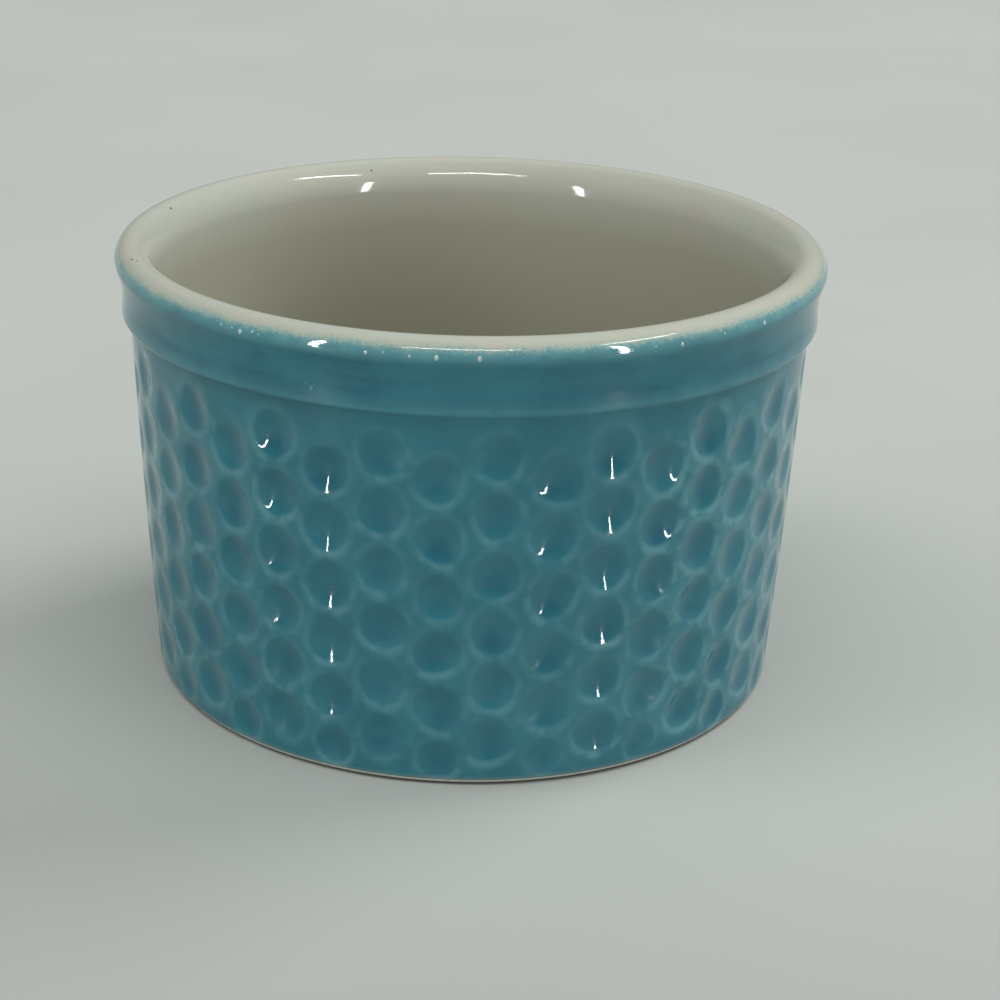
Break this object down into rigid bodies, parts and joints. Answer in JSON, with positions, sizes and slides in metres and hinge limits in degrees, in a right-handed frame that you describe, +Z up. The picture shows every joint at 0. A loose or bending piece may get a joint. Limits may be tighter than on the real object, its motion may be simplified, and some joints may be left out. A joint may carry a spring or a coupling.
{
  "type": "ramekin",
  "caption": "Round straight-sided ramekin with a dimpled turquoise outside, a cove-shaped band under the rim, a white glazed inside and a bare clay foot ring.",
  "frame": {"origin": "on the table plane, at the centre of the foot ring", "axes": "+Z up along the vessel's axis; -Y is the side towards the viewer in the picture, +X to the viewer's right"},
  "size_m": [0.1016, 0.1018, 0.0642],
  "materials": {
    "stoneware": "bare fired clay, buff, matt and slightly sandy",
    "turquoise_glaze": "glossy turquoise glaze, darker where it pools and paler where it thins over edges",
    "white_glaze": "glossy warm white glaze"
  },
  "bodies": {
    "root": {"stoneware_body": "stoneware", "turquoise_outer_glaze": "turquoise_glaze", "white_liner_glaze": "white_glaze", "underside_glaze": "turquoise_glaze", "rim_glaze_beads": "white_glaze"}
  },
  "joints": []
}
